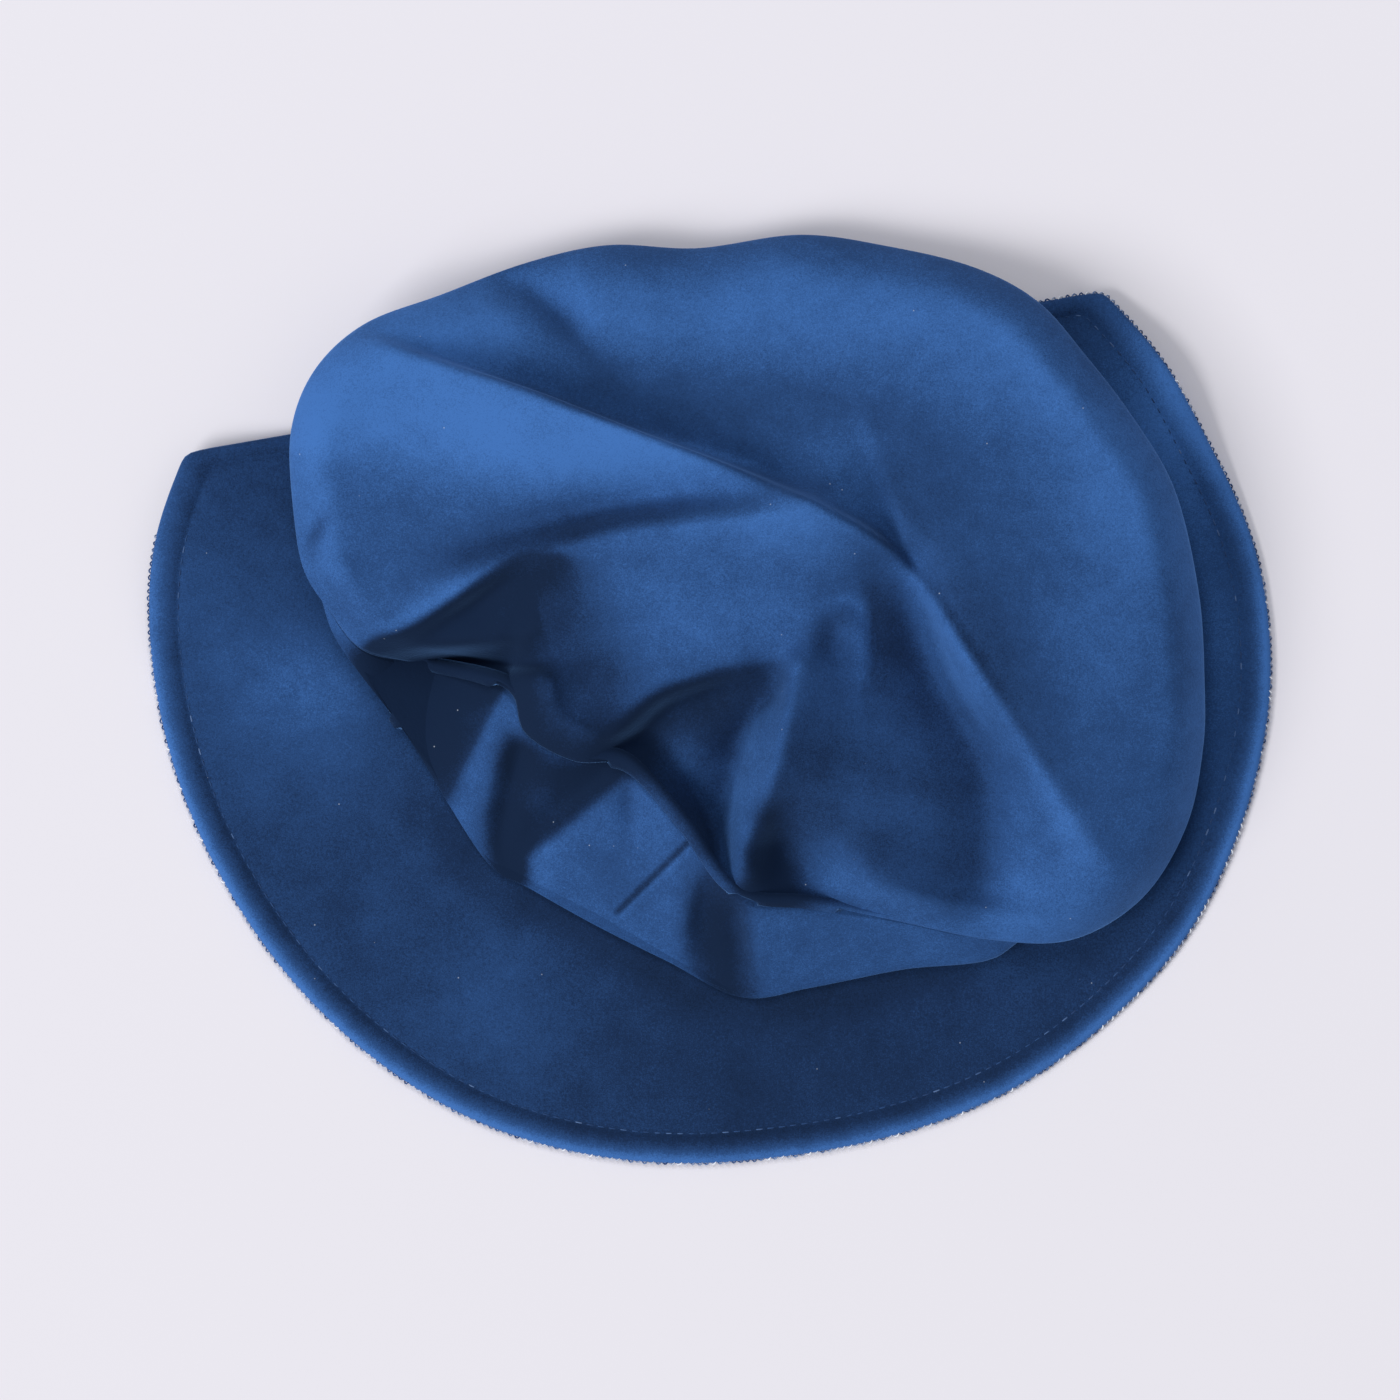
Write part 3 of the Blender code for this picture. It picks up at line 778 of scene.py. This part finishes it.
# The plain dome of the top under its folds: how steeply it leaves the middle, and how
# late it takes up the height of each section's shoulder.
DOME_POWER = 1.6
SHOULDER_POWER = 9


def closed_rows(rows, columns):
    """Rows of numbers smoothed into a closed curve and read at evenly spaced columns."""
    rows = np.array(rows, float)
    fine = []
    for index in range(len(rows)):
        before, start, end, after = (rows[(index + k) % len(rows)] for k in (-1, 0, 1, 2))
        fine += [catmull_rom(before, start, end, after, t) for t in np.arange(0, 1, 0.05)]
    fine = np.array(fine + fine[:1])
    steps = np.hypot(*np.diff(fine[:, :2], axis=0).T)
    reach = np.concatenate(([0.0], np.cumsum(steps)))
    wanted = np.linspace(0, reach[-1], columns + 1)[:-1]
    return np.array([np.interp(wanted, reach, column) for column in fine.T]).T


def crest_shape(distance, side, left, right, crest):
    """1 on the crest, falling off over the left and right widths."""
    width = right + (left - right) * (0.5 + 0.5 * np.tanh(side / FLANK_BLEND))
    return np.exp(-(np.sqrt(distance**2 + crest**2) - crest) / width)


def folds(places, steps, ridges, hollows):
    """Height and sideways lean that folds give each place."""
    raised = np.zeros(len(places))
    sunk = np.zeros(len(places))
    shift = np.zeros_like(places)
    for _, high, high_width, low, low_width, roll, lean, points in steps:
        distance, side, share, left = beside(places, points)
        past = np.sqrt(np.maximum(distance**2 - side**2, 0)) * ((share <= 0) | (share >= 1))
        on_high = 0.5 - 0.5 * np.tanh(side / (roll + END_SPREAD * past))
        rise, fall = along_fold(share, high), along_fold(share, low)
        right_side = rise * np.exp(-distance / along_fold(share, high_width)) * on_high
        left_side = -fall * np.exp(-distance / along_fold(share, low_width)) * (1 - on_high)
        raised += np.maximum(right_side + np.maximum(left_side, 0), 0) ** FOLD_SHARPNESS
        sunk += np.maximum(-left_side, 0) ** FOLD_SHARPNESS
        edge = np.exp(-((distance / LEAN_REACH) ** 2)) * np.clip((rise + fall) / FULL_LEAN, 0, 1)
        out = along_fold(share, np.atleast_1d(lean)) * edge * ((1 + LEAN_BACK) * on_high - LEAN_BACK)
        shift += left * out[:, None]
    for rows, total in ((ridges, raised), (hollows, sunk)):
        for _, size, to_left, to_right, crest, points in rows:
            distance, side, share, _ = beside(places, points)
            wide = [along_fold(share, np.atleast_1d(width)) for width in (to_left, to_right)]
            total += (along_fold(share, size) * crest_shape(distance, side, *wide, crest)) ** FOLD_SHARPNESS
    return raised ** (1 / FOLD_SHARPNESS) - sunk ** (1 / FOLD_SHARPNESS), shift


def fade(share):
    """0 to 1 with a soft start and a soft end."""
    return share * share * (3 - 2 * share)


def crown_point(around, u, columns):
    """Points of the crown's outer face.

    around picks one of the columns. u runs 0 to 1 from the middle of the top to its shoulder,
    to 2 at the edge, 3 at the seam, 4 at the hip and 5 at the foot.
    """
    table_of = closed_rows([row[1:] for row in CROWN_SECTIONS], columns)
    row = {name: table_of[around % columns, i] for i, name in enumerate(SECTION_COLUMNS)}
    centre = np.array(CROWN_CENTRE)
    edge = np.stack((row["edge_x"], row["edge_y"]), -1)
    inward = centre - edge
    inward /= np.linalg.norm(inward, axis=1)[:, None]
    shoulder = edge + inward * SHOULDER_INSET
    seam = edge + inward * row["tuck"][:, None]
    hip = np.stack((row["hip_x"], row["hip_y"]), -1)
    outward = hip - HEAD_OPENING_CENTRE
    outward /= np.linalg.norm(outward, axis=1)[:, None]
    foot = HEAD_OPENING_CENTRE + outward * FOOT_RADIUS

    shoulder_z = row["edge_z"] + row["puff"]
    hip_z = brim_top(hip) + row["hip_z"]
    foot_z = brim_top(foot) + REST_GAP
    inner = centre + (shoulder - centre) * 0.85
    keys = [
        np.column_stack((inner, shoulder_z + 0.5)),
        np.column_stack((shoulder, shoulder_z)),
        np.column_stack((edge, row["edge_z"])),
        np.column_stack((seam, row["edge_z"] - row["drop"])),
        np.column_stack((hip, hip_z)),
        np.column_stack((foot, foot_z)),
    ]
    keys.append(2 * keys[-1] - keys[-2])
    keys = np.stack(keys, 1)

    share = np.clip(u, 0, 1)
    flat = centre + (shoulder - centre) * share[:, None]
    heights = table_of[:, SECTION_COLUMNS.index("edge_z")] + table_of[:, SECTION_COLUMNS.index("puff")]
    turns = np.fft.fftfreq(columns, 1 / columns)
    slow = np.fft.fft(heights) * np.exp(-((turns / EVENED_WAVES) ** 2))
    evened = np.fft.ifft(slow).real[around % columns]
    dome = (evened - CROWN_MIDDLE_HEIGHT) * share**DOME_POWER
    rise = CROWN_MIDDLE_HEIGHT + dome + (shoulder_z - evened) * share**SHOULDER_POWER
    result = np.column_stack((flat, rise))
    past = u > 1
    span = np.clip(np.floor(u - 1e-9).astype(int), 1, 4)
    index = np.arange(len(u))
    four = [keys[index, span - 1 + k] for k in range(4)]
    curved = catmull_rom(*four, (u - span)[:, None])
    result[past] = curved[past]

    top_share = fade(np.clip(TOP_FOLDS_END - u, 0, 1))
    on_top = top_share > 0
    lifted, shift = folds(result[on_top, :2], TOP_STEPS, TOP_RIDGES, TOP_HOLLOWS)
    result[on_top, 2] += top_share[on_top] * lifted
    result[on_top, :2] += top_share[on_top, None] * shift

    below_seam = np.clip((u - SIDE_FOLDS_START) / SIDE_FOLDS_FADE_IN, 0, 1)
    above_hip = np.clip((SIDE_FOLDS_END - u) / SIDE_FOLDS_FADE_OUT, 0, 1)
    side_share = fade(below_seam * above_hip)
    on_side = side_share > 0
    lifted, _ = folds(result[on_side, :2], SIDE_STEPS, (), SIDE_HOLLOWS)
    lifted *= side_share[on_side]
    result[on_side, :2] -= inward[on_side] * lifted[:, None] * SIDE_FOLD_PUSH
    result[on_side, 2] += lifted * SIDE_FOLD_RISE

    floor = brim_top(result[:, :2]) + REST_GAP
    result[:, 2] = np.maximum(result[:, 2], floor)
    return result


def thicken(piece):
    """Gives a sheet the thickness of the cloth, towards the inside of the hat."""
    modifier = piece.modifiers.new("cloth", "SOLIDIFY")
    modifier.thickness = CLOTH * MM
    modifier.offset = -1
    modifier.use_even_offset = False


def face_outwards(piece, upwards):
    """Turns the sheet's faces so that most of them look up, or down."""
    total = sum(polygon.normal.z * polygon.area for polygon in piece.data.polygons)
    if (total > 0) != upwards:
        piece.data.flip_normals()


def even_out(piece, rounds=3, rim_rows=2):
    """Takes the sharpest corners off the folds, and leaves the rim of the sheet alone."""
    bm = bmesh.new()
    bm.from_mesh(piece.data)
    rim = {vert for vert in bm.verts if vert.is_boundary}
    for _ in range(rim_rows):
        rim |= {edge.other_vert(vert) for vert in rim for edge in vert.link_edges}
    inside = [vert for vert in bm.verts if vert not in rim]
    axes = {"use_axis_x": True, "use_axis_y": True, "use_axis_z": True}
    for _ in range(rounds):
        bmesh.ops.smooth_vert(bm, verts=inside, factor=0.5, **axes)
    bm.to_mesh(piece.data)
    bm.free()


# Light and shade painted on the side ring, such as painted shade in its folds and recess: name, tone at
# even shares of the path, width to the left and right of the path, path.
SIDE_PAINTED_SHADING = (
    ("all_over", (-0.08, -0.08), 900, 900, ((-60, -60), (60, -60))),
    ("recess_dark", (-1.5, -1.4, -0.9), 2.5, 26, ((-69, 12), (-76, -3), (-84, -19), (-91, -33))),
    ("strip_light", (0.0, 0.2, 0.2), 5, 5, ((-68, 6), (-74, -10), (-79, -24), (-82, -38))),
    ("fold_dark", (-1.3, -1.5, -1.5, -1.3), 12, 3.5,
     ((-64, -58), (-63, -50), (-52, -41), (-38, -29), (-28, -22))),
    ("fold_middle_dark", (-1.2, -1.5, -1.1), 7, 7, ((-63, -18), (-66, -34), (-67, -56))),
    ("lobe_shade_dark", (-1.3, -1.3, -0.9), 7, 7, ((-64, -19), (-50, -25), (-34, -23))),
    ("corner_rim", (0.3, 0.5, 0.2), 2, 5, ((-58, -60), (-58, -51), (-46, -42))),
    ("front_fold_dark", (-0.5, -0.6, -0.5), 13, 3, ((14, -98), (12, -80), (11, -66))),
    ("front_fold_deep", (-1.4, -1.8, -1.6), 10, 10, ((3, -62), (2, -80), (5, -97))),
    ("recess_left_dark", (-1.6, -1.8, -1.6, -0.9), 13, 12, ((-114, 8), (-102, 0), (-96, -14), (-95, -25))),
    ("recess_seam_dark", (-1.5, -2.2, -2.2, -1.2), 6, 7, ((-111, 13), (-98, 11), (-84, 9), (-72, 7))),
    ("front_panel_dark", (-0.15, -0.15), 14, 14, ((40, -80), (95, -80))),
    ("panel_low_dark", (-0.2, -0.3, -0.2), 8, 8, ((-44, -46), (-34, -57), (-24, -68))),
    ("pucker_line", (-0.2, -0.4, -0.1), 2, 2, ((-26, -23), (-27, -34), (-26, -46))),
)

# The first rows of the side ring lie tucked in under the seam. The rows are given along
# the crown's profile, like SEAM_GAP, which the top leaves free at the seam.
SEAM_TUCK = 1.4
TUCKED_ROWS = (2.96, 3.01, 3.06)
TUCK_FADE = 0.05
FIRST_FREE_ROW = 3.09
SEAM_GAP = 0.04
BAND_SEAM = ((-6, -46), (-32, -72))


def side_skin(around, u):
    """The side ring. Its first rows are tucked in under the seam, as a seam allowance."""
    points = crown_point(around, u, SIDE_COLUMNS)
    # Painted light and shade on the side ring.
    tone = light_and_shade_strokes(points[:, :2], SIDE_PAINTED_SHADING)
    tucked = SEAM_TUCK * np.clip((TUCKED_ROWS[-1] - u) / TUCK_FADE, 0, 1)
    inward = np.array(CROWN_CENTRE) - points[:, :2]
    points[:, :2] += inward / np.linalg.norm(inward, axis=1)[:, None] * tucked[:, None] * 0.7
    points[:, 2] -= tucked * 0.8
    return points, tone, np.column_stack((around * 1.3, u * 20))


side_rings = list(TUCKED_ROWS) + list(np.linspace(FIRST_FREE_ROW, 5, SIDE_RINGS))
side = ring_sheet("velvet_side", SIDE_COLUMNS, side_rings, side_skin)
even_out(side)
face_outwards(side, False)
thicken(side)
side.data.materials.append(velvet("side_velvet", (-0.3, -0.5, 0.0), BAND_SEAM))
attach(side, "root")
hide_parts("crown_side")


# The round top of the crown: one disc of velvet, far wider than the head, which has
# slumped into sharp ridges and deep valleys between the head opening and its seam.

TOP_RINGS = 78
TOP_EDGE_RINGS = 14

# Light and shade painted on the top, such as painted shade beyond its ridges and in its hollows, in the
# same columns as the side ring's table.
TOP_PAINTED_SHADING = (
    ("panel_light", (0.6, 0.9, 0.5), 26, 14, ((-128, 96), (-80, 86), (-30, 78), (30, 62))),
    ("panel_low_dark", (0.0, -0.5, -0.9, -0.8, -0.5), 13, 2,
     ((-104, 38), (-88, 43), (-70, 48), (-55, 52), (-30, 58.5), (0, 62), (24, 65))),
    ("beak_light", (0.3, 0.5, 0.4), 4, 4, ((-50, 49), (-66, 44.5), (-84, 36), (-104, 25))),
    ("behind_dark", (-0.2, -0.8, -0.8, -0.6, 0.0), 18, 2,
     ((-70, 108), (-40, 97), (-15, 91), (12, 83), (35, 74))),
    ("bend_dark", (0.0, -0.5, -0.4, 0.0), 7, 5, ((52, 86), (58, 70), (64, 56), (70, 44))),
    ("dimple_dark", (-0.4, -0.8, -0.3), 2.5, 2.5, ((-128, 60), (-131, 55), (-133, 50))),
    ("back_dip_dark", (-0.3, -0.6, -0.2), 8, 8, ((-66, 140), (-50, 128), (-34, 112))),
    ("back_light", (0.9, 0.6, 0.8, 0.6, 0.4), 22, 22,
     ((-100, 128), (-40, 128), (40, 132), (110, 112), (146, 60))),
    ("back_patch_dark", (-0.1, -0.25, -0.2, -0.1), 9, 9, ((-10, 104), (30, 100), (62, 92), (84, 66))),
    ("right_rim_light", (0.3, 0.7, 0.7, 0.5, 0.2), 9, 9,
     ((148, -62), (161, -30), (164, 10), (158, 60), (140, 96))),
    ("front_rim_dark", (-0.8, -0.8, -0.5, -0.2), 3, 3, ((12, -63.5), (30, -66), (47, -67.5), (64, -72))),
    ("left_light", (0.3, 0.3), 16, 16, ((-130, 104), (-130, 58))),
    ("right_light", (0.3, 0.3, 0.2, 0.3), 24, 24, ((130, 60), (128, 10), (118, -30), (110, -66))),
    ("left_rim_dark", (0.0, -0.1, -0.3, -0.3), 8, 8, ((-139, 84), (-138, 60), (-131, 40), (-120, 24))),
    ("recess_dark", (-1.9, -2.5, -2.5, -2.1, -1.5), 2.5, (26, 26, 25, 18, 9),
     ((-110, 17.5), (-98, 21.5), (-84, 30.5), (-72, 39.5), (-62, 45.5), (-52, 46.5))),
    ("recess_rim_dark", (-1.4, -2.2, -2.2, -1.2), 7, 7, ((-108, 13), (-93, 11), (-80, 8), (-69, 5))),
    ("lobe_dark", (-0.6, -1.1, -1.7, -2.2, -2.1, -1.2), (14, 15, 13, 12, 10, 8), 6,
     ((-52, 44), (-60, 28), (-66, 12), (-66, 0), (-61, -11), (-50, -19), (-35, -20))),
    ("lobe_middle_dark", (-0.8, -1.1, -1.0), 15, 13, ((-44, 22), (-39, 6), (-37, -9))),
    ("band_rim_dark", (-0.9, -0.9, -0.9, -0.9), 12, 3,
     ((-29, -22), (-19, -31), (-9, -42), (-1, -52), (7, -63))),
    ("under_dark", (-1.4, -1.9, -1.8, -1.2, 0.0), 3, (15, 17, 17, 13, 8),
     ((-31, -12), (-16, 0), (3, 7), (18, 10), (30, 12))),
    ("plateau_bright", (0.1, 0.25, 0.1), 14, 9, ((-24, 28), (-4, 23), (20, 24))),
    ("wedge_dark", (-0.6, -0.8, -0.7, -0.4), 1.5, 12, ((20, 2), (11, -8), (6, -25), (2, -45))),
    ("crest_light", (0.0, 0.0, 0.3), 5, 5, ((24, 2), (18, -14), (12, -34), (8, -56))),
    ("flank_dark", (0.0, -0.3, -0.5, -0.6), (14, 16, 18, 18), 2,
     ((31, 3), (28, -12), (22, -30), (17, -40))),
    ("pit_dark", (-1.0, -1.5, -1.5), 10, 9, ((22, -42), (22, -52), (22, -66))),
    ("knob_dent_dark", (-0.3, -0.5, -0.4, -0.2), 5, 5, ((37, 20), (40, 25), (44, 27), (46, 23))),
    ("knob_light", (0.2, 0.5, 0.5, 0.2), 3, 3, ((36, 31), (45, 33), (50, 26), (50, 8))),
    ("knob_side_dark", (-0.3, -0.9, -0.8, -0.3), 12, 1.5, ((51, 42), (55, 28), (56, 14), (53, 2))),
    ("valley_dark", (-0.3, -0.5, -0.6, -0.7, -0.6, -0.5, -0.3), (1.5, 1.5, 1.5, 3, 6, 10, 12), 17,
     ((64, 43), (69, 30), (73, 18), (79, 3), (87, -11), (91, -26), (91, -45), (88, -60))),
    ("bowl_dark", (-0.5, -0.5, -0.3), 9, 9, ((42, -18), (60, -24), (80, -30))),
    ("bowl_left_dark", (-0.1, -0.25, -0.2), 12, 12, ((32, -14), (38, -26), (42, -38))),
    ("puff_dark", (-0.6, -0.6, -0.4, -0.3), 12, 12, ((42, -42), (56, -48), (72, -50), (86, -52))),
    ("flank_light", (0.4, 0.2, -0.3, -0.5, -0.3), 4, 9,
     ((67, 43), (77, 24), (92, 0), (103, -24), (113, -50))),
    ("plateau_shade", (-0.2, -0.6, -0.6, -0.5, -0.2), 13, 0.8,
     ((62, 54), (80, 28), (98, 0), (112, -22), (126, -44))),
)


def top_skin(around, u):
    """The round top: its points, painted light and shade, and cloth chart."""
    points = crown_point(around, u, CROWN_COLUMNS)
    return points, light_and_shade_strokes(points[:, :2], TOP_PAINTED_SHADING), points[:, :2]


rings = list(np.linspace(0, 1, TOP_RINGS)) + list(np.linspace(1, 3 - SEAM_GAP, TOP_EDGE_RINGS + 1))[1:]
top = ring_sheet("velvet_top", CROWN_COLUMNS, rings, top_skin)
even_out(top)
face_outwards(top, True)
thicken(top)
top.data.materials.append(velvet("top_velvet", (-0.45, -0.45, 0.0)))
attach(top, "root")
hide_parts("crown_top")
